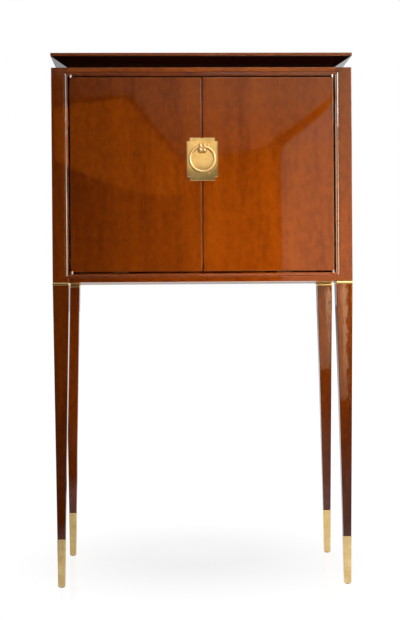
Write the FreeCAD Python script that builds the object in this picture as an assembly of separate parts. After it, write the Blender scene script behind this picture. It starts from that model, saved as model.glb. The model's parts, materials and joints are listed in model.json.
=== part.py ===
"""Bar cabinet on tall tapered legs, with two doors and a fold-out serving shelf.

Millimetres. +Z is up and the doors face -Y. The origin lies on the floor, under the
middle of the case.
"""
import FreeCAD, Part
import math
import os

V = FreeCAD.Vector

# ---------------------------------------------------------------- driving dimensions
# Case
case_width = 914.0          # over the outer faces of the posts
case_depth = 508.0
case_height = 652.0
case_bottom_z = 929.0       # underside of the case above the floor
post_size = 50.0
post_edge = 1.2             # radius on the long edges of a post
panel_thickness = 20.0      # side panels
panel_setback = 3.0         # side panels behind the outer face of the posts
panel_tongue = 8.0          # width and length of the tongue in the posts
board_thickness = 18.0      # top and bottom boards
back_thickness = 8.0
back_setback = 10.0         # back panel in front of the rear face of the posts
back_tongue = 8.0

# Front frame: rails, and the mitred bead round the door opening
top_rail_face = 13.0        # seen height of the rails, outside the bead
bottom_rail_face = 15.5
rail_depth = 40.0
rail_tenon = 20.0           # length
rail_tenon_thickness = 16.0
rail_tenon_height = 14.0
bead_width = 11.5
bead_depth = 8.0
bead_quirk = 1.5            # groove outside the bead
bead_radius = 3.0

# Top
cornice_height = 35.0
cornice_inset = 62.0        # foot of the bevel behind the faces of the case
slab_thickness = 10.0
slab_overhang = 1.5
slab_top_edge = 2.5         # radii of the slab's edges
slab_low_edge = 1.0

# Legs
leg_foot = 20.0             # square section at the foot
leg_lean = 9.0              # how far the outer faces run in by the foot
leg_edge = 2.0
collar_height = 8.0
collar_proud = 1.5          # beyond the faces of the post
collar_edge = 2.6
sabot_height = 144.5
sabot_wall = 1.2
sabot_proud = 0.5           # beyond the wood of the leg
sabot_floor = 3.0
sabot_edge = 0.4
glide_height = 2.5
glide_inset = 3.0           # inside the faces of the foot
nail_radius = 1.5
nail_length = 16.0
bolt_radius = 4.0
bolt_in_leg = 60.0
bolt_in_post = 40.0

# Doors
door_thickness = 22.0
door_setback = 1.0          # behind the faces of the posts
door_side_gap = 5.5
door_end_gap = 5.0          # above and below
door_meeting_gap = 3.2
door_edge = 1.5

# Door hinges: a knuckle in front of the door, on leaves let into edge and soffit
hinge_inboard = 4.0         # pivot inside the outer edge of the door
hinge_forward = 4.0         # pivot in front of the face of the door
knuckle_radius = 4.0
knuckle_height = 4.6
knuckle_edge = 1.4
hinge_pin_radius = 2.0
hinge_neck = 3.0            # half width
hinge_leaf_length = 38.0
hinge_leaf_width = 12.0
hinge_leaf_thickness = 2.0
hinge_leaf_setback = 7.0    # behind the face of the door
hinge_screw_length = 15.0
hinge_screw_spacing = 17.0

# Handle
plate_width = 95.0
plate_height = 129.5
plate_thickness = 3.0
plate_rise = 45.75          # middle of the plate above the middle of the doors
plate_notch_width = 9.0
plate_notch_height = 11.0
plate_bevel = 1.2
plate_relief = 0.4          # back of the half that laps over the left door
plate_pin_x = 19.0
plate_pin_rise = 41.5       # above and below the middle of the plate
plate_pin_radius = 1.5
plate_pin_head = 3.0        # radius
plate_pin_length = 15.0
ring_radius = 37.6          # to the middle of the wire
ring_wire = 4.3             # radius
ring_axis_rise = 38.0       # pivot above the middle of the plate
ring_axis_forward = 6.6     # pivot in front of the plate
boss_drop = 5.0             # middle of the boss below the pivot
lobe_radius = 8.3
lobe_x = 5.8
lobe_z = 6.3
boss_body = 9.0             # radius
boss_body_height = 11.5
boss_bead = 3.4             # radius of the bead between the lobes
boss_rivet = 4.0            # radius

# Bar deck and fold-out leaf
deck_rise = 73.0            # top of the deck above the underside of the case
deck_thickness = 18.0
deck_setback = 27.0         # front edge behind the faces of the posts
leaf_end_gap = 42.0         # each end of the leaf inside the posts
leaf_depth = 235.0
leaf_thickness = 18.0
leaf_edge = 1.0
leaf_hinge_x = 240.0
leaf_hinge_length = 60.0
leaf_hinge_radius = 3.0
leaf_hinge_plate = 1.5      # thickness
leaf_hinge_reach = 30.0     # plate behind the axis
leaf_pin_radius = 1.5

# Lopers: two sliding bars that carry the open leaf
loper_x = 250.0
loper_width = 20.0
loper_length = 380.0
loper_setback = 14.0        # behind the front edge of the deck
loper_bed = 11.4            # guide's floor above the bottom board
loper_travel = 180.0
guide_wall = 12.0
guide_length = 403.0
heel_length = 12.0
heel_width = 12.0
heel_drop = 5.0

# Small knobs on lopers and leaf
knob_radius = 6.0
knob_reach = 12.0
knob_foot = 4.2             # radius of the collar against the wood
knob_foot_height = 1.5
knob_neck = 3.0             # radius
knob_neck_low = 3.0         # neck from here
knob_neck_high = 6.0        # to here
knob_rim_low = 8.0          # widest from here
knob_rim_high = 10.0        # to here
knob_crown = 4.0            # radius of the flat end
knob_shank = 12.0           # length in the wood
knob_shank_radius = 1.8

# Glass shelf
shelf_rise = 416.0          # underside above the underside of the case
shelf_thickness = 8.0
shelf_edge = 1.0
shelf_front_gap = 14.0      # behind the front posts
shelf_back_gap = 4.0        # in front of the rear posts
shelf_end_gap = 1.0
shelf_pin_radius = 3.5
shelf_pin_reach = 12.0
shelf_pin_inset = 40.0      # from the front and back edges of the shelf

# Catches
catch_x = 40.0
catch_width = 30.0
catch_height = 20.0
catch_peg_radius = 3.0
catch_peg_length = 12.0
strike_radius = 8.0
strike_thickness = 1.5
strike_peg_radius = 2.5
strike_peg_length = 10.0

# Screws through the top board into the cornice
top_screw_length = 45.0
top_screw_x = 300.0
top_screw_y = 120.0
screw_radius = 2.0
screw_head = 4.0            # radius
small_screw_radius = 1.4
small_screw_head = 2.8      # radius

# Clearances
gap = 0.3                   # between pieces that move past each other
running = 0.05              # radial, round a pin
near = 0.1                  # an edge this close to a place lies there

# ---------------------------------------------------------------- places that follow
half_width = case_width / 2
front_y = -case_depth / 2
back_y = case_depth / 2
case_top_z = case_bottom_z + case_height
post_in_x = half_width - post_size
post_in_y = case_depth / 2 - post_size
panel_out_x = half_width - panel_setback
panel_in_x = panel_out_x - panel_thickness
back_face_y = back_y - back_setback - back_thickness
leg_top_z = case_bottom_z - collar_height
sabot_top_z = glide_height + sabot_height

sill_z = case_bottom_z + bottom_rail_face + bead_width
soffit_z = case_top_z - top_rail_face - bead_width
opening_middle_z = (sill_z + soffit_z) / 2

door_face_y = front_y + door_setback
door_back_y = door_face_y + door_thickness
door_out_x = post_in_x - door_side_gap
door_in_x = door_meeting_gap / 2
door_low_z = sill_z + door_end_gap
door_high_z = soffit_z - door_end_gap
pivot_x = door_out_x - hinge_inboard
pivot_y = door_face_y - hinge_forward
end_gap_middle_z = door_high_z + door_end_gap / 2

plate_y = door_face_y - plate_thickness
plate_center_z = opening_middle_z + plate_rise
ring_axis_y = plate_y - ring_axis_forward
ring_axis_z = plate_center_z + ring_axis_rise
boss_z = ring_axis_z - boss_drop

floor_board_z = case_bottom_z + board_thickness
deck_top_z = case_bottom_z + deck_rise
deck_low_z = deck_top_z - deck_thickness
deck_front_y = front_y + deck_setback
leaf_out_x = post_in_x - leaf_end_gap
leaf_low_z = deck_top_z + gap
leaf_front_y = deck_front_y + gap
leaf_back_y = leaf_front_y + leaf_depth
shelf_z = case_bottom_z + shelf_rise
shelf_front_y = -post_in_y + shelf_front_gap
shelf_back_y = post_in_y - shelf_back_gap
loper_front_y = deck_front_y + loper_setback
loper_low_z = floor_board_z + loper_bed + gap
loper_high_z = deck_top_z - gap - leaf_thickness - gap
loper_back_y = loper_front_y + loper_length


# ---------------------------------------------------------------- helpers
def block(x0, x1, y0, y1, z0, z1):
    """A box between two corners."""
    return Part.makeBox(x1 - x0, y1 - y0, z1 - z0, V(x0, y0, z0))


def mirror_x(shape):
    """The same piece on the other side of the cabinet."""
    return shape.mirror(V(0, 0, 0), V(1, 0, 0))


def mirror_y(shape):
    """The same piece at the back of the cabinet."""
    return shape.mirror(V(0, 0, 0), V(0, 1, 0))


def mirror_z(shape, height):
    """The same piece turned over about a level plane."""
    return shape.mirror(V(0, 0, height), V(0, 0, 1))


def at_corners(shape):
    """A left front piece and its copies at the other three corners."""
    pair = [shape, mirror_x(shape)]
    return pair + [mirror_y(one) for one in pair]


def round_edges(shape, radius, wanted):
    """Round the edges whose middle and direction satisfy wanted(middle, direction)."""
    edges = []
    for edge in shape.Edges:
        ends = [vertex.Point for vertex in edge.Vertexes]
        if len(ends) == 2 and wanted((ends[0] + ends[1]) / 2, (ends[1] - ends[0]).normalize()):
            edges.append(edge)
    return shape.makeFillet(radius, edges)


def upright(middle, direction):
    return abs(direction.z) > 1 - near


def rounded_square(x, y, size, radius, z):
    """A level outline with round corners, from its low corner."""
    corner = radius * (1 - math.sqrt(0.5))
    wire = []
    start = V(x + radius, y, z)
    for along in (V(1, 0, 0), V(0, 1, 0), V(-1, 0, 0), V(0, -1, 0)):
        inward = V(-along.y, along.x, 0)
        end = start + along * (size - 2 * radius)
        middle = end + along * (radius - corner) + inward * corner
        after = end + along * radius + inward * radius
        wire.append(Part.LineSegment(start, end).toShape())
        wire.append(Part.Arc(end, middle, after).toShape())
        start = after
    return Part.Wire(wire)


def countersunk_screw(x, y, z, length, radius, head):
    """A screw with its head flush at z, pointing down."""
    depth = head - radius
    shank = Part.makeCylinder(radius, length, V(x, y, z - length))
    return shank.fuse(Part.makeCone(radius, head, depth, V(x, y, z - depth))).removeSplitter()


def turned(points, base, direction):
    """A turned solid from (radius, height) points along an axis that starts at base."""
    outline = Part.makePolygon([V(r, 0, h) for r, h in points + points[:1]])
    solid = Part.Face(outline).revolve(V(0, 0, 0), V(0, 0, 1), 360)
    solid.Placement = FreeCAD.Placement(base, FreeCAD.Rotation(V(0, 0, 1), direction))
    return solid


pieces = {}


# ---------------------------------------------------------------- top
def make_top():
    """The slab, and under it the ebonised cornice that runs in to the case on a bevel."""
    low_z = case_top_z
    high_z = case_top_z + cornice_height
    outlines = []
    for x, y, z in (
        (half_width - cornice_inset, case_depth / 2 - cornice_inset, low_z),
        (half_width + slab_overhang, case_depth / 2 + slab_overhang, high_z),
    ):
        corners = [V(-x, -y, z), V(x, -y, z), V(x, y, z), V(-x, y, z), V(-x, -y, z)]
        outlines.append(Part.makePolygon(corners))
    cornice = Part.makeLoft(outlines, True, True)
    slab = block(
        -half_width - slab_overhang, half_width + slab_overhang,
        front_y - slab_overhang, back_y + slab_overhang,
        high_z, high_z + slab_thickness,
    )
    slab = round_edges(slab, slab_top_edge, lambda m, d: m.z > high_z + slab_thickness - near)
    slab = round_edges(slab, slab_low_edge, lambda m, d: m.z < high_z + near)
    screws = []
    for x in (-top_screw_x, 0, top_screw_x):
        for y in (-top_screw_y, top_screw_y):
            screw = countersunk_screw(
                x, y, case_top_z - board_thickness, top_screw_length, screw_radius, screw_head
            )
            screws.append(mirror_z(screw, case_top_z - board_thickness))
    screws = Part.Compound(screws)
    pieces["top_slab"] = slab
    pieces["cornice"] = cornice.cut(screws)
    pieces["cornice_screws"] = screws
    pieces["case_top_board"] = case_board(case_top_z - board_thickness).cut(screws)


def case_board(low_z):
    """A board between the side panels, notched round the four posts."""
    high_z = low_z + board_thickness
    rail_back_y = front_y + rail_depth
    wide = block(-panel_in_x, panel_in_x, -post_in_y, post_in_y, low_z, high_z)
    deep = block(-post_in_x, post_in_x, rail_back_y, back_face_y, low_z, high_z)
    return wide.fuse(deep).removeSplitter()


# ---------------------------------------------------------------- case
def make_case():
    """Posts, panels, rails and the mitred bead, each let into the next."""
    pieces["case_bottom_board"] = case_board(case_bottom_z)

    panel = block(-panel_out_x, -panel_in_x, -post_in_y, post_in_y, case_bottom_z, case_top_z)
    tongue_x = -(panel_out_x + panel_in_x) / 2
    tongue = block(
        tongue_x - panel_tongue / 2, tongue_x + panel_tongue / 2,
        -post_in_y - panel_tongue, post_in_y + panel_tongue,
        case_bottom_z, case_top_z,
    )
    panel = panel.fuse(tongue).removeSplitter()
    back = block(
        -post_in_x - back_tongue, post_in_x + back_tongue,
        back_face_y, back_face_y + back_thickness,
        case_bottom_z, case_top_z,
    )

    bead_x = post_in_x + bead_width
    bead_low_z = sill_z - bead_width
    bead_high_z = soffit_z + bead_width
    bead_seat = block(-bead_x, bead_x, front_y, front_y + bead_depth, bead_low_z, bead_high_z)
    rails = {
        "front_bottom_rail": front_rail(case_bottom_z, sill_z),
        "front_top_rail": front_rail(soffit_z, case_top_z),
    }
    for name, rail in rails.items():
        rails[name] = rail.cut(bead_seat)

    post = block(-half_width, -post_in_x, front_y, -post_in_y, case_bottom_z, case_top_z)
    post = round_edges(post, post_edge, upright)
    rear = mirror_y(post)
    for piece in (panel, back, mirror_y(leg_bolt())):
        rear = rear.cut(piece)
    front = post.cut(bead_seat)
    for piece in [panel, leg_bolt()] + list(rails.values()):
        front = front.cut(piece)
    pieces["front_left_post"] = front
    pieces["front_right_post"] = mirror_x(front)
    pieces["rear_left_post"] = rear
    pieces["rear_right_post"] = mirror_x(rear)
    pieces["left_side_panel"] = panel
    pieces["right_side_panel"] = mirror_x(panel)
    pieces["back_panel"] = back
    pieces.update(rails)

    width = 2 * bead_x
    height = bead_high_z - bead_low_z
    for name, length, x, z, turn in (
        ("bottom_bead", width, -bead_x, bead_low_z, 0),
        ("right_bead", height, bead_x, bead_low_z, -90),
        ("top_bead", width, bead_x, bead_high_z, 180),
        ("left_bead", height, -bead_x, bead_high_z, 90),
    ):
        bead = mitred_bead(length)
        bead.Placement = FreeCAD.Placement(V(x, front_y, z), FreeCAD.Rotation(V(0, 1, 0), turn))
        pieces[name] = bead


def front_rail(low_z, high_z):
    """A rail between the front posts, with a stub tenon at each end behind the bead."""
    rail = block(-post_in_x, post_in_x, front_y, front_y + rail_depth, low_z, high_z)
    middle_y = front_y + bead_depth + (rail_depth - bead_depth) / 2
    middle_z = (low_z + high_z) / 2
    tenon = block(
        -post_in_x - rail_tenon, post_in_x + rail_tenon,
        middle_y - rail_tenon_thickness / 2, middle_y + rail_tenon_thickness / 2,
        middle_z - rail_tenon_height / 2, middle_z + rail_tenon_height / 2,
    )
    return rail.fuse(tenon).removeSplitter()


def mitred_bead(length):
    """One side of the bead frame along +X: outer edge at z = 0, opening towards +Z."""
    crest = bead_quirk + bead_radius
    after = bead_quirk + 2 * bead_radius
    sunk = bead_radius
    outline = Part.Wire([
        Part.makeLine(V(0, sunk, 0), V(0, sunk, bead_quirk)),
        Part.Arc(V(0, sunk, bead_quirk), V(0, 0, crest), V(0, sunk, after)).toShape(),
        Part.makeLine(V(0, sunk, after), V(0, sunk, bead_width)),
        Part.makeLine(V(0, sunk, bead_width), V(0, bead_depth, bead_width)),
        Part.makeLine(V(0, bead_depth, bead_width), V(0, bead_depth, 0)),
        Part.makeLine(V(0, bead_depth, 0), V(0, sunk, 0)),
    ])
    strip = Part.Face(outline).extrude(V(length, 0, 0))
    mitre = Part.makePolygon([
        V(0, 0, 0), V(length, 0, 0), V(length - bead_width, 0, bead_width),
        V(bead_width, 0, bead_width), V(0, 0, 0),
    ])
    return strip.common(Part.Face(mitre).extrude(V(0, bead_depth, 0)))


# ---------------------------------------------------------------- legs
def leg_outline(z, grow):
    """The left front leg's section at a height, grown or shrunk on every face."""
    share = (z - glide_height) / (leg_top_z - glide_height)
    lean = leg_lean * (1 - share)
    size = leg_foot + (post_size - leg_foot) * share
    return rounded_square(
        -half_width + lean - grow, front_y + lean - grow, size + 2 * grow, leg_edge + grow, z
    )


def leg_stretch(low_z, high_z, grow):
    return Part.makeLoft([leg_outline(low_z, grow), leg_outline(high_z, grow)], True, True)


def leg_bolt():
    """The bolt that joins the left front leg, collar and post."""
    length = bolt_in_leg + collar_height + bolt_in_post
    middle = V(-half_width + post_size / 2, front_y + post_size / 2, leg_top_z - bolt_in_leg)
    return Part.makeCylinder(bolt_radius, length, middle)


def make_legs():
    """Tapered legs on brass sabots, each under a brass collar, on a nailed glide."""
    tenon_low_z = glide_height + sabot_floor
    hollow = leg_stretch(tenon_low_z, sabot_top_z, sabot_proud - sabot_wall)
    sabot = leg_stretch(glide_height, sabot_top_z, sabot_proud)
    rim = [edge for edge in sabot.Edges if edge.BoundBox.ZMin > sabot_top_z - near]
    sabot = sabot.makeChamfer(sabot_edge, rim)
    foot = V(-half_width + leg_lean + leg_foot / 2, front_y + leg_lean + leg_foot / 2, 0)
    glide = Part.makeCylinder(leg_foot / 2 - glide_inset, glide_height, foot)
    nail = Part.makeCylinder(nail_radius, glide_height + nail_length, foot)
    glide = glide.fuse(nail).removeSplitter()
    leg = hollow.fuse(leg_stretch(sabot_top_z, leg_top_z, 0)).removeSplitter()
    leg = leg.cut(leg_bolt()).cut(glide)
    sabot = sabot.cut(hollow).cut(glide)
    collar = block(
        -half_width - collar_proud, -post_in_x + collar_proud,
        front_y - collar_proud, -post_in_y + collar_proud,
        leg_top_z, case_bottom_z,
    )
    collar = collar.makeFillet(collar_edge, collar.Edges).cut(leg_bolt())
    places = ("front_left", "front_right", "rear_left", "rear_right")
    for place, one_leg, one_sabot in zip(places, at_corners(leg), at_corners(sabot)):
        pieces[place + "_leg"] = one_leg
        pieces[place + "_sabot"] = one_sabot
    pieces["leg_collars"] = Part.Compound(at_corners(collar))
    pieces["leg_bolts"] = Part.Compound(at_corners(leg_bolt()))
    pieces["floor_glides"] = Part.Compound(at_corners(glide))


# ---------------------------------------------------------------- doors and hinges
def door_hinge_leaf(bore):
    """The leaf let into the top of the right door, its neck and its half of the knuckle."""
    low_z = door_high_z - hinge_leaf_thickness
    leaf_y = door_face_y + hinge_leaf_setback
    leaf = block(
        pivot_x + hinge_neck - hinge_leaf_length, pivot_x + hinge_neck,
        leaf_y, leaf_y + hinge_leaf_width, low_z, door_high_z,
    )
    neck = block(pivot_x - hinge_neck, pivot_x + hinge_neck, pivot_y, leaf_y, low_z, door_high_z)
    knuckle_low_z = end_gap_middle_z - gap / 2 - knuckle_height
    knuckle = Part.makeCylinder(knuckle_radius, knuckle_height, V(pivot_x, pivot_y, knuckle_low_z))
    knuckle = knuckle.makeFillet(
        knuckle_edge, [e for e in knuckle.Edges if e.BoundBox.ZMax < knuckle_low_z + near]
    )
    return leaf.fuse([neck, knuckle]).removeSplitter().cut(hinge_pin(bore))


def hinge_pin(radius):
    """The pin of the right door's top hinge, or its bore."""
    wall = hinge_leaf_thickness / 2
    length = 2 * (knuckle_height - wall)
    return Part.makeCylinder(radius, length, V(pivot_x, pivot_y, end_gap_middle_z - length / 2))


def door_hinge_screws():
    leaf_middle_x = pivot_x + hinge_neck - (hinge_leaf_length + 2 * hinge_neck) / 2
    y = door_face_y + hinge_leaf_setback + hinge_leaf_width / 2
    screws = []
    for x in (leaf_middle_x - hinge_screw_spacing / 2, leaf_middle_x + hinge_screw_spacing / 2):
        screws.append(countersunk_screw(
            x, y, door_high_z, hinge_screw_length, small_screw_radius, small_screw_head
        ))
    return Part.Compound(screws)


def both_ends(shape):
    """A piece at the top of the door opening, and its copy at the bottom."""
    return Part.Compound([shape, mirror_z(shape, opening_middle_z)])


def make_doors():
    """Two flush doors, each on a pair of hinges, with strikes for the catches."""
    screws = both_ends(door_hinge_screws())
    leaves = both_ends(door_hinge_leaf(hinge_pin_radius + running)).cut(screws)
    frame_screws = both_ends(mirror_z(door_hinge_screws(), end_gap_middle_z))
    frame_leaves = both_ends(mirror_z(door_hinge_leaf(hinge_pin_radius), end_gap_middle_z))
    frame_leaves = frame_leaves.cut(frame_screws)

    strike_y = door_back_y + strike_thickness
    strike_z = door_high_z - catch_height / 2
    strike_base = V(catch_x, door_back_y, strike_z)
    strike = Part.makeCylinder(strike_radius, strike_thickness, strike_base, V(0, 1, 0))
    strike = strike.fuse(
        Part.makeCylinder(strike_peg_radius, strike_peg_length, strike_base, V(0, -1, 0))
    )

    door = block(door_in_x, door_out_x, door_face_y, door_back_y, door_low_z, door_high_z)
    door = door.makeFillet(door_edge, door.Edges)
    for piece in (leaves, screws, strike):
        door = door.cut(piece)
    pieces["right_door"] = door.cut(handle_pins())
    pieces["left_door"] = mirror_x(door)
    for side, place in (("right", lambda s: s), ("left", mirror_x)):
        pieces[side + "_door_hinge_leaves"] = place(leaves)
        pieces[side + "_door_hinge_screws"] = place(screws)
        pieces[side + "_door_strike"] = place(strike)

    catch = block(
        catch_x - catch_width / 2, catch_x + catch_width / 2,
        strike_y + gap, front_y + rail_depth, soffit_z - catch_height, soffit_z,
    )
    catch_peg_y = (strike_y + gap + front_y + rail_depth) / 2
    catch = catch.fuse(Part.makeCylinder(
        catch_peg_radius, catch_peg_length, V(catch_x, catch_peg_y, soffit_z)
    ))
    frame_leaves = Part.Compound([frame_leaves, mirror_x(frame_leaves)])
    frame_screws = Part.Compound([frame_screws, mirror_x(frame_screws)])
    catches = Part.Compound([catch, mirror_x(catch)])
    pins = both_ends(hinge_pin(hinge_pin_radius))
    pieces["hinge_frame_leaves"] = frame_leaves
    pieces["hinge_frame_screws"] = frame_screws
    pieces["door_hinge_pins"] = Part.Compound([pins, mirror_x(pins)])
    pieces["door_catches"] = catches
    for name in ("front_top_rail", "front_bottom_rail", "top_bead", "bottom_bead"):
        pieces[name] = pieces[name].cut([frame_leaves, frame_screws, catches])


# ---------------------------------------------------------------- handle
def handle_pins():
    """Two domed pins that hold the plate to the right door."""
    pins = []
    for z in (plate_center_z - plate_pin_rise, plate_center_z + plate_pin_rise):
        base = V(plate_pin_x, plate_y, z)
        shank = Part.makeCylinder(plate_pin_radius, plate_pin_length, base, V(0, 1, 0))
        dome = Part.makeSphere(plate_pin_head, base, V(0, -1, 0), 0, 90, 360)
        pins.append(shank.fuse(dome).removeSplitter())
    return Part.Compound(pins)


def make_handle():
    """A notched plate with a four-lobed boss, and a ring that swings in the boss."""
    half = plate_width / 2
    low_z = plate_center_z - plate_height / 2
    high_z = plate_center_z + plate_height / 2
    plate = block(-half, half, plate_y, door_face_y, low_z, high_z)
    for x in (-half, half - plate_notch_width):
        for z in (low_z, high_z - plate_notch_height):
            plate = plate.cut(block(
                x, x + plate_notch_width, plate_y, door_face_y, z, z + plate_notch_height
            ))
    front_edges = [edge for edge in plate.Edges if edge.BoundBox.YMax < plate_y + near]
    plate = plate.makeChamfer(plate_bevel, front_edges)
    relief_y = door_face_y - plate_relief
    plate = plate.cut(block(-half, door_in_x / 2, relief_y, door_face_y, low_z, high_z))

    body = Part.makeCylinder(boss_body, boss_body_height, V(0, plate_y, boss_z), V(0, -1, 0))
    lobes = []
    for x in (-lobe_x, lobe_x):
        for z in (-lobe_z, lobe_z):
            lobes.append(Part.makeSphere(lobe_radius, V(x, ring_axis_y, boss_z + z)))
    bead = Part.makeSphere(boss_bead, V(0, plate_y - boss_body_height, boss_z))
    behind = block(-half, half, plate_y, door_face_y + lobe_radius, low_z, high_z)
    boss = body.fuse(lobes + [bead]).cut(behind)
    rivet = Part.makeCylinder(
        boss_rivet, plate_thickness - plate_relief, V(0, plate_y, boss_z), V(0, 1, 0)
    )
    boss = boss.cut(ring_tunnel()).fuse(rivet).removeSplitter()

    ring = Part.makeTorus(
        ring_radius, ring_wire, V(0, ring_axis_y, ring_axis_z - ring_radius), V(0, 1, 0)
    )
    pieces["handle_plate"] = plate.cut(rivet).cut(handle_pins())
    pieces["handle_boss"] = boss
    pieces["handle_pins"] = handle_pins()
    pieces["ring_pull"] = ring


def ring_tunnel():
    """The space that the ring's wire sweeps round its pivot, flared like the ring."""
    inner = ring_radius - ring_wire - gap
    reach = lobe_x + lobe_radius + 1
    rise = ring_radius - math.sqrt(inner ** 2 - reach ** 2)
    outline = Part.Wire([
        Part.makeLine(V(-reach, 0, 0), V(reach, 0, 0)),
        Part.makeLine(V(reach, 0, 0), V(reach, 0, rise)),
        Part.Arc(V(reach, 0, rise), V(0, 0, ring_wire + gap), V(-reach, 0, rise)).toShape(),
        Part.makeLine(V(-reach, 0, rise), V(-reach, 0, 0)),
    ])
    tunnel = Part.Face(outline).revolve(V(0, 0, 0), V(1, 0, 0), 360)
    tunnel.translate(V(0, ring_axis_y, ring_axis_z))
    return tunnel


# ---------------------------------------------------------------- interior
def turned_knob(base, direction):
    """A small mushroom knob that stands on base, with its shank in the wood behind."""
    outline = [
        (0, -knob_shank), (knob_shank_radius, -knob_shank), (knob_shank_radius, 0),
        (knob_foot, 0), (knob_foot, knob_foot_height),
        (knob_neck, knob_neck_low), (knob_neck, knob_neck_high),
        (knob_radius, knob_rim_low), (knob_radius, knob_rim_high),
        (knob_crown, knob_reach), (0, knob_reach),
    ]
    return turned(outline, base, direction)


def leaf_hinge(x):
    """Deck plate, leaf plate and pin of one hinge between the deck and the leaf."""
    x0 = x - leaf_hinge_length / 2
    x1 = x + leaf_hinge_length / 2
    third = leaf_hinge_length / 6
    near_y = deck_front_y + leaf_hinge_radius + gap
    far_y = deck_front_y + leaf_hinge_reach

    def half(low_z, spans, bore):
        high_z = low_z + leaf_hinge_plate
        shape = block(x0, x1, near_y, far_y, low_z, high_z)
        for start, end in spans:
            barrel = Part.makeCylinder(
                leaf_hinge_radius, end - start, V(start, deck_front_y, deck_top_z), V(1, 0, 0)
            )
            tongue = block(start, end, deck_front_y, near_y, low_z, high_z)
            shape = shape.fuse([barrel, tongue])
        return shape.removeSplitter().cut(axle(bore))

    def axle(radius):
        return Part.makeCylinder(
            radius, leaf_hinge_length, V(x0, deck_front_y, deck_top_z), V(1, 0, 0)
        )

    outer = ((x0, x - third - gap / 2), (x + third + gap / 2, x1))
    inner = ((x - third + gap / 2, x + third - gap / 2),)
    deck_half = half(deck_top_z - leaf_hinge_plate, outer, leaf_pin_radius)
    leaf_half = half(leaf_low_z, inner, leaf_pin_radius + running)
    notch = Part.makeCylinder(
        leaf_hinge_radius + gap, leaf_hinge_length + 2 * gap,
        V(x0 - gap, deck_front_y, deck_top_z), V(1, 0, 0),
    )
    return deck_half, leaf_half, axle(leaf_pin_radius), notch


def make_interior():
    """The bar deck, the leaf hinged to its front edge, its lopers, and a glass shelf."""
    deck = block(-post_in_x, post_in_x, deck_front_y, back_face_y, deck_low_z, deck_top_z)
    deck = deck.fuse(block(-panel_in_x, panel_in_x, -post_in_y, post_in_y, deck_low_z, deck_top_z))
    deck = deck.removeSplitter()
    leaf = block(
        -leaf_out_x, leaf_out_x, leaf_front_y, leaf_back_y,
        leaf_low_z, leaf_low_z + leaf_thickness,
    )
    leaf = round_edges(leaf, leaf_edge, lambda m, d: m.y > leaf_front_y + near)
    deck_halves = []
    leaf_halves = []
    axles = []
    for x in (-leaf_hinge_x, leaf_hinge_x):
        deck_half, leaf_half, axle, notch = leaf_hinge(x)
        deck = deck.cut(notch).cut(deck_half)
        leaf = leaf.cut(notch).cut(leaf_half)
        deck_halves.append(deck_half)
        leaf_halves.append(leaf_half)
        axles.append(axle)
    leaf_knob = turned_knob(V(0, leaf_back_y, leaf_low_z + leaf_thickness / 2), V(0, 1, 0))
    pieces["bar_deck"] = deck
    pieces["fold_out_leaf"] = leaf.cut(leaf_knob)
    pieces["leaf_knob"] = leaf_knob
    pieces["deck_hinge_plates"] = Part.Compound(deck_halves)
    pieces["leaf_hinge_plates"] = Part.Compound(leaf_halves)
    pieces["leaf_hinge_pins"] = Part.Compound(axles)

    loper, guide, loper_knob = make_loper()
    pieces["right_loper"] = loper
    pieces["left_loper"] = mirror_x(loper)
    pieces["right_loper_knob"] = loper_knob
    pieces["left_loper_knob"] = mirror_x(loper_knob)
    pieces["loper_guides"] = Part.Compound([guide, mirror_x(guide)])

    shelf = block(
        -panel_in_x + shelf_end_gap, panel_in_x - shelf_end_gap, shelf_front_y, shelf_back_y,
        shelf_z, shelf_z + shelf_thickness,
    )
    pieces["glass_shelf"] = round_edges(
        shelf, shelf_edge, lambda m, d: m.y < shelf_front_y + near and abs(m.x) < near
    )
    pins = []
    for y in (shelf_front_y + shelf_pin_inset, shelf_back_y - shelf_pin_inset):
        pin = Part.makeCylinder(
            shelf_pin_radius, 2 * shelf_pin_reach,
            V(panel_in_x - shelf_pin_reach, y, shelf_z - shelf_pin_radius), V(1, 0, 0),
        )
        pins += [pin, mirror_x(pin)]
    pieces["shelf_pins"] = Part.Compound(pins)
    for name in ("left_side_panel", "right_side_panel"):
        pieces[name] = pieces[name].cut(pieces["shelf_pins"])


def make_loper():
    """The right loper with its heel, the grooved guide that it slides in, and its knob."""
    half = loper_width / 2
    loper = block(
        loper_x - half, loper_x + half, loper_front_y, loper_back_y, loper_low_z, loper_high_z
    )
    heel = block(
        loper_x - heel_width / 2, loper_x + heel_width / 2,
        loper_back_y - heel_length, loper_back_y, loper_low_z - heel_drop, loper_low_z,
    )
    loper = loper.fuse(heel).removeSplitter()
    wall_x = half + gap + guide_wall
    guide = block(
        loper_x - wall_x, loper_x + wall_x, loper_front_y, loper_front_y + guide_length,
        floor_board_z, deck_low_z,
    )
    channel = block(
        loper_x - half - gap, loper_x + half + gap, loper_front_y, loper_front_y + guide_length,
        loper_low_z - gap, deck_low_z,
    )
    groove = block(
        loper_x - heel_width / 2 - gap, loper_x + heel_width / 2 + gap,
        loper_back_y - heel_length - loper_travel - gap, loper_back_y + gap,
        loper_low_z - heel_drop - gap, loper_low_z,
    )
    guide = guide.cut(channel).cut(groove)
    knob = turned_knob(V(loper_x, loper_front_y, (loper_low_z + loper_high_z) / 2), V(0, -1, 0))
    return loper.cut(knob), guide, knob


make_top()
make_case()
make_legs()
make_doors()
make_handle()
make_interior()

os.makedirs("parts", exist_ok=True)
for name, shape in sorted(pieces.items()):
    shape.exportStep("parts/" + name + ".step")
    state = "valid" if shape.isValid() else "NOT VALID"
    print(name, len(shape.Solids), state, round(shape.Volume / 1000, 2), "cm3")
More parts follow.
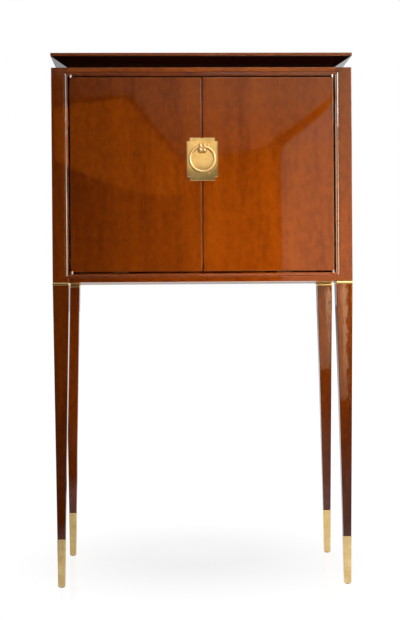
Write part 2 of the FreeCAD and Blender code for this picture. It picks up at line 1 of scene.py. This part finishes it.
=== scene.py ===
"""Looks of the bar cabinet: finishes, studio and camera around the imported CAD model.

Metres, in the CAD frame: +Z is up, the doors face -Y and the origin is on the floor. No CAD
piece is moved, changed or replaced: each one gets a finish in its material slots.
"""
import bpy
import json
import math
from mathutils import Matrix, Vector

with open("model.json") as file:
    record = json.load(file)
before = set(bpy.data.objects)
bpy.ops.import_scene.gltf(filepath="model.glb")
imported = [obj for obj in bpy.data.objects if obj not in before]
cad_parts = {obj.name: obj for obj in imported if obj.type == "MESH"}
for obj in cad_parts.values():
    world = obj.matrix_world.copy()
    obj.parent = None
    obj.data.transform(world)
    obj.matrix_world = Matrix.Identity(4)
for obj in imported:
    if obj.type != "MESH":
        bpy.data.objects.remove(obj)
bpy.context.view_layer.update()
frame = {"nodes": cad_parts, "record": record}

# ---------------------------------------------------------------- camera, fitted to the photograph
image_height_px = 620
focal_px = 1224.9
sensor_height_mm = 24.0
camera_place = Vector((-0.1206, -3.9805, 0.8682))
camera_yaw = math.radians(1.695)       # turned to the right
camera_pitch = math.radians(-0.380)    # tipped down
camera_roll = math.radians(-0.409)     # turned to the right about the line of sight

# ---------------------------------------------------------------- colours, linear RGB
white = (1, 1, 1)
glass_tint = (0.90, 0.96, 0.93)
floor_colour = (0.86, 0.86, 0.86)

# woods: deep figure, warm figure and pores
red_pore = (0.130, 0.017, 0.0005)
case_wood = ((0.180, 0.0255, 0.0006), (0.385, 0.0680, 0.0009), red_pore)
leg_wood = ((0.140, 0.0200, 0.0005), (0.300, 0.0530, 0.0007), red_pore)
# the top rail: the case wood painted about half again lighter, painted light where the cornice
# shades it
rail_wood_painted_lighter = ((0.270, 0.042, 0.0008), (0.560, 0.112, 0.0012), red_pore)
inside_wood = ((0.300, 0.120, 0.040), (0.500, 0.240, 0.095), (0.160, 0.060, 0.020))
# near black for the undersides: painted shade, the case's own wood shown as dark as it reads in
# shade
underside_painted_shade = ((0.0045, 0.0008, 0.0008), (0.0170, 0.0019, 0.0016), (0.0045, 0.0008, 0.0008))

# metals: bright and tarnished
brass = ((0.900, 0.680, 0.320), (0.740, 0.500, 0.190))
ring_brass = ((0.880, 0.660, 0.340), (0.720, 0.490, 0.210))
pale_brass = ((0.820, 0.760, 0.680), (0.620, 0.560, 0.480))
steel = ((0.62, 0.62, 0.63), (0.42, 0.42, 0.44))

# plastics: light and dark
glide_black = ((0.05, 0.045, 0.04), (0.025, 0.022, 0.02))
catch_brown = ((0.10, 0.06, 0.04), (0.05, 0.03, 0.02))

# ---------------------------------------------------------------- surfaces
noise_span = (0.3, 0.7)        # most of a noise lies between these
along_x, along_y, along_z = 0, 1, 2

# wood: each noise by its scale across and along the grain, detail and roughness
band_noise = (15.0, 1.6, 3, 0.6)
mottle_noise = (60.0, 38.0, 3, 0.6)
fleck_noise = (190.0, 34.0, 2, 0.5)
pore_noise = (900.0, 60.0, 3, 0.65)
figure_span = (0.36, 0.64)     # mottle and flecks turn from deep to warm between these
mottle_share = 0.32
fleck_share = 0.08
pore_span = (0.54, 0.74)
pore_share = 0.35
pore_depth = 0.00004
pore_bump = 0.35
pore_roughness = 0.12          # how much rougher the pores are
case_roughness = 0.35
inside_roughness = 0.4

# lacquer
inside_coat = 0.35
lacquer_roughness = 0.025
lacquer_ior = 1.5
upright_bead_ior = 2.8         # the thin beads glint more than flat lacquer
level_bead_ior = 1.6
ripple_noise = ((55.0, 55.0, 55.0), 1)
ripple_depth = 0.00003
leg_ripple_depth = 0.00008
bead_ripple_depth = 0.00001
ripple_bump = 0.5
arris = 0.0022                 # how far it rounds an edge of the wood to the eye
bead_arris = 0.0004

# metals, glass and plastics: each noise by its scale in X, Y and Z, detail and roughness
tarnish_noise = ((28.0, 28.0, 28.0), 4, 0.6)
tarnish_span = (0.35, 0.75)
speck_noise = ((420.0, 420.0, 420.0), 2, 0.6)
speck_span = (0.60, 0.75)
speck_share = 0.35
brush_noise = ((60.0, 60.0, 2200.0), 2, 0.6)
brush_depth = 0.00002
wave_noise = ((9.0, 9.0, 9.0), 1)
wave_depth = 0.0002
wave_bump = 0.2
smear_noise = ((40.0, 40.0, 40.0), 3)
smear_span = (0.3, 0.8)
glass_roughness = (0.01, 0.05)
glass_ior = 1.52
pebble_noise = ((1500.0, 1500.0, 1500.0), 2)
pebble_depth = 0.00005
pebble_bump = 0.4
cloud_noise = ((60.0, 60.0, 60.0), 2)

# ---------------------------------------------------------------- floor
floor_size = 160.0
floor_glow = 1.09              # brightness that the eye sees without a shadow
floor_shade = 0.26             # share of the floor that takes light and shadow; darker than the glow even where lit, so it also paints a soft shadow
# the ellipse around the cabinet where that share holds, which reads as a painted shadow on top of
# the real one
shade_centre = (-0.02, 0.25, 0.0)
shade_reach = (0.65, 0.70, 1.0)
shade_fade = (0.30, 1.35)      # the share is gone between these, in reaches from the centre
floor_gloss = 0.06             # share of the floor that mirrors the feet
floor_gloss_roughness = 0.12

# how bright gloss sees the floor, which turns from one glow to the next between two bounds
sweep_x = (-0.5, 0.3)          # from the left glow to the right glow
feet_glow = (0.55, 0.84)       # near the feet
front_glow = (0.0, 0.45)       # further in front
feet_to_front = (1.0, 1.35)    # distance from the middle
front_to_far = (1.6, 3.2)
side_slant = (0.20, 0.40)      # far in front, X over Y from the dark middle to the sides
front_to_back = (0.3, 0.6)     # Y
back_slant = (-0.14, -0.08)    # behind the cabinet, X over Y
back_glow = (0.10, 1.0)        # left and right of that
back_left_slant = (-0.16, -0.19)   # still further left it is pale again
back_left_glow = (0.0, 0.50)

# ---------------------------------------------------------------- world
ambient = 0.05                 # world light on surfaces
studio_dark = 0.02             # what gloss sees straight behind the camera
studio_soft = 0.30             # and at its sides
studio_round = (               # Y of the direction and the glow there
    (-1.0, studio_dark), (-0.95, studio_dark), (-0.82, studio_soft), (0.10, studio_soft),
    (0.60, 1.0), (1.0, 1.0),
)
backdrop_y = (0.10, 0.60)      # Y of the direction from the studio to the backdrop
backdrop_x = (-0.15, 0.10)     # X of the direction from the backdrop's left to its right
backdrop_glow = (0.55, 0.68)   # left and right

# ---------------------------------------------------------------- reflection cards and lamps
card_y = -6.0                  # well behind the camera
card_fade = 0.25               # what is left of a card's glow where it has faded

middle = (0, 0, 1.0)
door_y = -0.25
# name, place, target, (width, height), watts, spread in degrees, whether gloss sees it
lamps = (
    ("high_key", (1.13, -2.12, 2.03), (0.32, door_y, 1.37), (0.7, 0.7), 1.75, 38, True),
    ("low_key", (0.84, -1.49, 0.97), (0.27, door_y, 0.88), (0.8, 0.8), 2.1, 41, False),
    ("wash", (-0.6, -2.6, 3.2), (-0.26, door_y, 1.64), (0.6, 0.06), 0.15, 12, False),
    ("fill", (-3.0, -3.0, 1.6), middle, (2.0, 2.0), 4, 180, True),
    ("overhead", (0, 0.2, 4.2), (0, 0, 0), (2.4, 2.4), 45, 180, True),
    ("left_side", (-3.2, 1.2, 1.8), middle, (1.5, 2.0), 35, 180, True),
    ("right_side", (3.2, 1.2, 1.8), middle, (1.5, 2.0), 35, 180, True),
    ("back", (0.6, 3.4, 2.2), middle, (2.0, 2.0), 40, 180, False),
)


# ---------------------------------------------------------------- node helpers
def rgba(colour):
    return (*colour, 1)


class Nodes:
    """The nodes of a material or world, with short calls that add them and link them."""

    def __init__(self, owner, output):
        self.owner = owner
        owner.use_nodes = True
        self.tree = owner.node_tree
        self.tree.nodes.clear()
        self.output = self.add(output)

    def add(self, kind, inputs=(), **settings):
        node = self.tree.nodes.new("ShaderNode" + kind)
        for key, value in settings.items():
            setattr(node, key, value)
        for key, value in dict(inputs).items():
            self.feed(node.inputs[key], value)
        return node

    def feed(self, socket, value):
        if isinstance(value, bpy.types.NodeSocket):
            self.tree.links.new(value, socket)
        else:
            socket.default_value = value

    def place(self, scale):
        """Object coordinates, stretched, and shifted by a chance amount for each piece."""
        where = self.add("TexCoord").outputs["Object"]
        chance = self.add("ObjectInfo").outputs["Random"]
        shift = self.add("CombineXYZ", {"X": chance, "Y": chance, "Z": chance}).outputs[0]
        moved = self.vector("ADD", where, shift)["Vector"]
        return self.add("Mapping", {"Vector": moved, "Scale": scale}).outputs[0]

    def noise(self, scale, detail, roughness=0.5):
        return self.add("TexNoise", {
            "Vector": self.place(scale), "Scale": 1.0, "Detail": detail, "Roughness": roughness,
        }).outputs["Fac"]

    def ramp(self, factor, low, high, low_value=0.0, high_value=1.0):
        return self.add("MapRange", {
            "Value": factor, "From Min": low, "From Max": high,
            "To Min": low_value, "To Max": high_value,
        }).outputs["Result"]

    def curve(self, value, points):
        """A value read off the straight lines between points."""
        node = self.add("FloatCurve", {"Value": value})
        node.mapping.use_clip = False
        line = node.mapping.curves[0].points
        for point, place in zip(line, (points[0], points[-1])):
            point.location = place
        for place in points[1:-1]:
            line.new(*place)
        for point in line:
            point.handle_type = "VECTOR"
        node.mapping.update()
        return node.outputs[0]

    def calc(self, operation, *values):
        return self.add("Math", enumerate(values), operation=operation).outputs[0]

    def vector(self, operation, *values):
        return self.add("VectorMath", enumerate(values), operation=operation).outputs

    def between(self, factor, first, second):
        """A number from the first to the second."""
        return self.add("Mix", {0: factor, 2: first, 3: second}, data_type="FLOAT").outputs[0]

    def mix(self, factor, first, second):
        """A colour from the first to the second."""
        node = self.add("Mix", data_type="RGBA")
        for key, value in (("Factor", factor), ("A", first), ("B", second)):
            self.feed(next(s for s in node.inputs if s.name == key and s.enabled), value)
        return next(s for s in node.outputs if s.enabled)

    def bump(self, height, distance, strength, **others):
        inputs = {"Height": height, "Distance": distance, "Strength": strength, **others}
        return self.add("Bump", inputs).outputs["Normal"]

    def finish(self, shader):
        self.tree.links.new(shader.outputs[0], self.output.inputs["Surface"])
        return self.owner


def material_nodes(name):
    return Nodes(bpy.data.materials.new(name), "OutputMaterial")


# ---------------------------------------------------------------- finishes
def wood(
    name, grain, colours, roughness=case_roughness, coat=1.0,
    ripple=ripple_depth, rounding=arris, coat_ior=lacquer_ior,
):
    """Veneer with bands, mottle, flecks and fine pores along its grain, lacquered over."""
    deep, warm, pore = map(rgba, colours)
    s = material_nodes(name)

    def figure(across, along, *detail):
        scale = [across] * 3
        scale[grain] = along
        return s.noise(scale, *detail)

    bands, mottle, flecks, pores = (
        figure(*numbers) for numbers in (band_noise, mottle_noise, fleck_noise, pore_noise)
    )
    colour = s.mix(s.ramp(bands, *noise_span), deep, warm)
    for pattern, share in ((mottle, mottle_share), (flecks, fleck_share)):
        colour = s.mix(share, colour, s.mix(s.ramp(pattern, *figure_span), deep, warm))
    colour = s.mix(s.ramp(pores, *pore_span, 0.0, pore_share), colour, pore)
    rounded = s.add("Bevel", {"Radius": rounding}, samples=6).outputs[0]
    return s.finish(s.add("BsdfPrincipled", {
        "Base Color": colour,
        "Roughness": s.ramp(pores, *noise_span, roughness, roughness + pore_roughness),
        "Specular IOR Level": 0.0,
        "Coat Weight": coat,
        "Coat Roughness": lacquer_roughness,
        "Coat IOR": coat_ior,
        "Normal": s.bump(pores, pore_depth, pore_bump, Normal=rounded),
        "Coat Normal": s.bump(s.noise(*ripple_noise), ripple, ripple_bump, Normal=rounded),
    }))


def metal(name, colours, roughness, brush):
    """Polished metal: soft tarnish, and fine brush lines that run level."""
    bright, tarnished = map(rgba, colours)
    s = material_nodes(name)
    tarnish = s.noise(*tarnish_noise)
    lines = s.noise(*brush_noise)
    specks = s.noise(*speck_noise)
    dulled = s.mix(s.ramp(tarnish, *tarnish_span), bright, tarnished)
    return s.finish(s.add("BsdfPrincipled", {
        "Base Color": s.mix(s.ramp(specks, *speck_span, 0.0, speck_share), dulled, tarnished),
        "Metallic": 1.0,
        "Roughness": s.ramp(tarnish, *noise_span, roughness, roughness * 1.5),
        "Normal": s.bump(lines, brush_depth, brush),
    }))


def glass():
    """Clear shelf glass with a faint green tint and slight waves."""
    s = material_nodes("shelf_glass")
    return s.finish(s.add("BsdfPrincipled", {
        "Base Color": rgba(glass_tint),
        "Roughness": s.ramp(s.noise(*smear_noise), *smear_span, *glass_roughness),
        "IOR": glass_ior,
        "Transmission Weight": 1.0,
        "Normal": s.bump(s.noise(*wave_noise), wave_depth, wave_bump),
    }))


def moulded(name, colours, roughness):
    """Dull moulded plastic with a fine pebbled skin."""
    light, dark = map(rgba, colours)
    s = material_nodes(name)
    pebbles = s.noise(*pebble_noise)
    cloud = s.noise(*cloud_noise)
    return s.finish(s.add("BsdfPrincipled", {
        "Base Color": s.mix(s.ramp(cloud, *noise_span), light, dark),
        "Roughness": s.ramp(pebbles, *noise_span, roughness, roughness + 0.2),
        "Normal": s.bump(pebbles, pebble_depth, pebble_bump),
    }))


bead_lacquer = {"ripple": bead_ripple_depth, "rounding": bead_arris}
inside_lacquer = {"roughness": inside_roughness, "coat": inside_coat}

finishes = {
    "lacquered_wood": wood("lacquered_upright", along_z, case_wood),
    "lacquered_leg": wood("lacquered_leg", along_z, leg_wood, ripple=leg_ripple_depth),
    "upright_bead": wood(
        "upright_bead", along_z, case_wood, coat_ior=upright_bead_ior, **bead_lacquer
    ),
    "level_bead": wood(
        "level_bead", along_x, case_wood, coat_ior=level_bead_ior, **bead_lacquer
    ),
    "lacquered_level": wood("lacquered_level", along_x, case_wood),
    # the top rail's lighter wood is painted light, not a different veneer
    "rail_painted_lighter": wood("rail_painted_lighter", along_x, rail_wood_painted_lighter),
    # the undersides in the ebonised_wood slot are painted near black: painted shade
    "ebonised_wood": wood("painted_shade_underside", along_x, underside_painted_shade),
    "interior_wood": wood("interior_upright", along_z, inside_wood, **inside_lacquer),
    "interior_level": wood("interior_level", along_x, inside_wood, **inside_lacquer),
    "interior_deep": wood("interior_deep", along_y, inside_wood, **inside_lacquer),
    "brass": metal("polished_brass", brass, roughness=0.16, brush=0.25),
    "ring_brass": metal("ring_brass", ring_brass, roughness=0.33, brush=0.25),
    "pale_brass": metal("pale_brass", pale_brass, roughness=0.30, brush=0.25),
    "steel": metal("plain_steel", steel, roughness=0.32, brush=0.4),
    "plate_brass": metal("plate_brass", brass, roughness=0.04, brush=0.02),
    "glass": glass(),
    "glide": moulded("nylon_glide", glide_black, roughness=0.5),
    "catch": moulded("catch_brown", catch_brown, roughness=0.45),
}

# finishes of single nodes, which differ from that of their slot
own_finish = {
    # the top rail gets the lighter wood that paints light onto it
    "front_top_rail": "rail_painted_lighter",
    "front_bottom_rail": "lacquered_level",
    "top_slab": "lacquered_level",
    "bar_deck": "interior_level",
    "fold_out_leaf": "interior_level",
    "case_top_board": "interior_level",
    "case_bottom_board": "interior_level",
    "left_bead": "upright_bead",
    "right_bead": "upright_bead",
    "top_bead": "level_bead",
    "bottom_bead": "level_bead",
    "handle_plate": "plate_brass",
    "handle_boss": "ring_brass",
    "handle_pins": "ring_brass",
    "ring_pull": "ring_brass",
}


def finish_of(name, slot):
    if name in own_finish:
        return own_finish[name]
    if "loper" in name and slot == "interior_wood":
        return "interior_deep"
    if name.endswith("_leg"):
        return "lacquered_leg"
    if "door_hinge" in name or name.startswith("hinge_frame"):
        return "pale_brass"
    return slot


def dress_cad():
    for part in frame["record"]["subparts"]:
        name = part["node"]
        finish = finishes[finish_of(name, part["material_slot"])]
        for slot in frame["nodes"][name].material_slots:
            slot.material = finish


# ---------------------------------------------------------------- studio
def flat_sheet(name, corners, material):
    mesh = bpy.data.meshes.new(name)
    mesh.from_pydata(corners, [], [tuple(range(len(corners)))])
    mesh.materials.append(material)
    sheet = bpy.data.objects.new(name, mesh)
    bpy.context.scene.collection.objects.link(sheet)
    return sheet


def make_floor():
    """A floor that glows white to the eye, takes real and painted shadow near the feet and mirrors
    them a little.
    """
    s = material_nodes("studio_floor")
    path = s.add("LightPath").outputs
    where = s.add("TexCoord").outputs["Object"]
    place = s.add("SeparateXYZ", {0: where}).outputs

    # painted shadow: inside the ellipse less of the floor glows, so it darkens there with or
    # without a real shadow
    off_centre = s.vector("SUBTRACT", where, shade_centre)["Vector"]
    reaches = s.vector("DIVIDE", off_centre, shade_reach)["Vector"]
    under = s.vector("LENGTH", reaches)["Value"]
    glowing = s.ramp(under, *shade_fade, 1 - floor_shade, 1.0)

    away = s.vector("LENGTH", where)["Value"]
    slant = s.calc("DIVIDE", place["X"], place["Y"])
    at_feet, in_front = (s.ramp(place["X"], *sweep_x, *glow) for glow in (feet_glow, front_glow))
    far = s.ramp(s.calc("ABSOLUTE", slant), *side_slant, studio_dark, studio_soft)
    behind = s.calc(
        "MAXIMUM",
        s.ramp(slant, *back_slant, *back_glow),
        s.ramp(slant, *back_left_slant, *back_left_glow),
    )
    near = s.between(s.ramp(away, *feet_to_front), at_feet, in_front)
    front = s.between(s.ramp(away, *front_to_far), near, far)
    lit = s.between(s.ramp(place["Y"], *front_to_back), front, behind)

    seen = s.calc("MAXIMUM", path["Is Camera Ray"], path["Is Glossy Ray"])
    seen = s.calc("MAXIMUM", seen, path["Is Transmission Ray"])
    strength = s.calc("MULTIPLY", s.between(path["Is Glossy Ray"], 1.0, lit), floor_glow)
    matt = s.add("BsdfDiffuse", {"Color": rgba(floor_colour)}).outputs[0]
    glow = s.add("Emission", {"Color": rgba(white), "Strength": strength}).outputs[0]
    mirror = s.add(
        "BsdfGlossy", {"Color": rgba(white), "Roughness": floor_gloss_roughness}
    ).outputs[0]
    plain = s.add("MixShader", {0: s.calc("MULTIPLY", seen, glowing), 1: matt, 2: glow}).outputs[0]
    gloss = s.calc("MULTIPLY", path["Is Camera Ray"], floor_gloss)
    material = s.finish(s.add("MixShader", {0: gloss, 1: plain, 2: mirror}))

    half = floor_size / 2
    corners = [(-half, -half, 0), (half, -half, 0), (half, half, 0), (-half, half, 0)]
    floor = flat_sheet("floor", corners, material)


def make_world():
    """White to the eye; for gloss, pale behind the cabinet and dim behind the camera."""
    world = bpy.data.worlds.new("studio")
    bpy.context.scene.world = world
    s = Nodes(world, "OutputWorld")
    path = s.add("LightPath").outputs
    direction = s.add("SeparateXYZ", {0: s.add("TexCoord").outputs["Generated"]}).outputs
    studio = s.curve(direction["Y"], studio_round)
    backdrop = s.ramp(direction["X"], *backdrop_x, *backdrop_glow)
    around = s.between(s.ramp(direction["Y"], *backdrop_y), studio, backdrop)
    for_gloss = s.between(path["Is Glossy Ray"], ambient, around)
    seen = s.calc("MAXIMUM", path["Is Camera Ray"], path["Is Transmission Ray"])
    strength = s.between(seen, for_gloss, 1.0)
    s.finish(s.add("Background", {"Color": rgba(white), "Strength": strength}))


def reflection_card(name, outline, colour, left_glow, right_glow, nearer=0.0, fade_z=None):
    """A sheet that only gloss sees, with a glow that changes from left to right.

    The outline is in X and Z. Cards that overlap differ in nearer, which is in metres. With
    fade_z the glow is faded at the first height and whole at the second.
    """
    s = material_nodes(name)
    place = s.add("SeparateXYZ", {0: s.add("TexCoord").outputs["Object"]}).outputs
    left, right = (pick(x for x, z in outline) for pick in (min, max))
    glow = s.ramp(place["X"], left, right, left_glow, right_glow)
    if fade_z:
        glow = s.calc("MULTIPLY", glow, s.ramp(place["Z"], *fade_z, card_fade, 1.0))
    material = s.finish(s.add("Emission", {"Color": rgba(colour), "Strength": glow}))
    card = flat_sheet(name, [(x, card_y + nearer, z) for x, z in outline], material)
    card.visible_camera = False
    card.visible_diffuse = False
    card.visible_transmission = False
    card.visible_shadow = False


def make_cards():
    """What the lacquer and the brass mirror of the room behind the camera."""
    reflection_card("umbrella", (
        (-1.10, 2.42), (-0.37, 2.48), (0.045, 1.95), (0.20, 1.95), (0.25, 1.99), (0.70, 2.07),
        (0.727, 2.116), (0.765, 2.149), (0.869, 2.213), (0.972, 2.284), (1.049, 2.348),
        (1.152, 2.425), (1.22, 2.50), (1.70, 2.95), (1.70, 4.40), (-1.10, 4.40),
    ), (0.85, 1.0, 0.75), 0.0, 1.05, fade_z=(1.95, 2.45))
    reflection_card("umbrella_heart", (
        (-1.10, 2.59), (1.70, 2.95), (1.70, 4.40), (-1.10, 4.40),
    ), (1.0, 1.0, 0.75), 0.2, 1.6, nearer=0.02)
    reflection_card("window", (
        (0.80, 0.0), (1.288, 0.0), (1.288, 1.00), (1.42, 1.02), (1.42, 2.60), (1.215, 2.40),
        (1.215, 2.10), (0.86, 2.10), (0.80, 2.05),
    ), (1.0, 0.90, 0.60), 0.95, 1.40)
    reflection_card("window_head", (
        (0.86, 2.10), (1.215, 2.10), (1.215, 2.45), (1.184, 2.40), (1.126, 2.316),
        (1.049, 2.258), (0.972, 2.194), (0.908, 2.142),
    ), (0.78, 1.0, 0.90), 0.85, 1.0, nearer=0.01)
    reflection_card("window_side", (
        (1.225, 2.30), (1.60, 2.30), (1.60, 2.95), (1.225, 2.62),
    ), (1.0, 0.90, 0.60), 1.35, 1.40, nearer=0.01)
    reflection_card("lamp_stand", (
        (1.276, 0.0), (1.302, 0.0), (1.286, 1.00), (1.262, 1.00),
    ), (1.0, 0.85, 0.50), 6.0, 6.0, nearer=0.03, fade_z=(0.0, 0.60))
    reflection_card("warm_wall", (
        (-0.95, 2.38), (-0.39, 2.44), (0.035, 1.93), (0.045, 1.69), (-0.21, 1.69),
        (-0.52, 1.78), (-0.84, 1.91), (-0.95, 1.96),
    ), (1.0, 0.22, 0.02), 1.45, 1.30)
    reflection_card("near_sheet", (
        (0.068, 1.896), (0.300, 1.896), (0.300, 2.130), (0.068, 2.130),
    ), (1.0, 0.82, 0.58), 1.22, 1.22, nearer=0.04, fade_z=(1.40, 2.13))
    reflection_card("low_sheet", (
        (0.068, 1.806), (0.300, 1.806), (0.300, 1.896), (0.068, 1.896),
    ), (1.0, 0.96, 0.72), 0.36, 0.36, nearer=0.04)
    reflection_card("tall_window", (
        (1.75, 0.6), (5.30, 0.6), (5.30, 2.8), (1.75, 2.8),
    ), (1.0, 0.66, 0.40), 11.0, 11.0, fade_z=(2.3, 1.7))
    reflection_card("softbox", (
        (0.20, 4.4), (3.00, 4.4), (3.00, 7.0), (0.20, 7.0),
    ), (1.0, 0.90, 0.80), 6.0, 6.0)


def make_lamps():
    for name, place, target, (width, height), power, spread, glossy in lamps:
        light = bpy.data.lights.new(name, "AREA")
        light.shape = "RECTANGLE"
        light.size = width
        light.size_y = height
        light.energy = power
        light.spread = math.radians(spread)
        lamp = bpy.data.objects.new(name, light)
        lamp.location = place
        away = Vector(place) - Vector(target)
        lamp.rotation_euler = away.to_track_quat("Z", "Y").to_euler()
        lamp.visible_glossy = glossy
        bpy.context.scene.collection.objects.link(lamp)


def make_camera():
    across = Vector((math.cos(camera_yaw), -math.sin(camera_yaw), 0))
    ahead = Vector((math.sin(camera_yaw), math.cos(camera_yaw), 0))
    up = Vector((0, 0, 1))
    sight = math.cos(camera_pitch) * ahead + math.sin(camera_pitch) * up
    crown = math.cos(camera_pitch) * up - math.sin(camera_pitch) * ahead
    right = math.cos(camera_roll) * across + math.sin(camera_roll) * crown
    top = math.cos(camera_roll) * crown - math.sin(camera_roll) * across
    data = bpy.data.cameras.new("camera")
    data.sensor_fit = "VERTICAL"
    data.sensor_height = sensor_height_mm
    data.lens = focal_px / image_height_px * sensor_height_mm
    camera = bpy.data.objects.new("camera", data)
    camera.matrix_world = Matrix.Translation(camera_place) @ Matrix(
        [(right[i], top[i], -sight[i]) for i in range(3)]
    ).to_4x4()
    bpy.context.scene.collection.objects.link(camera)
    bpy.context.scene.camera = camera


dress_cad()
make_floor()
make_world()
make_cards()
make_lamps()
make_camera()
bpy.context.scene.view_settings.view_transform = "Standard"
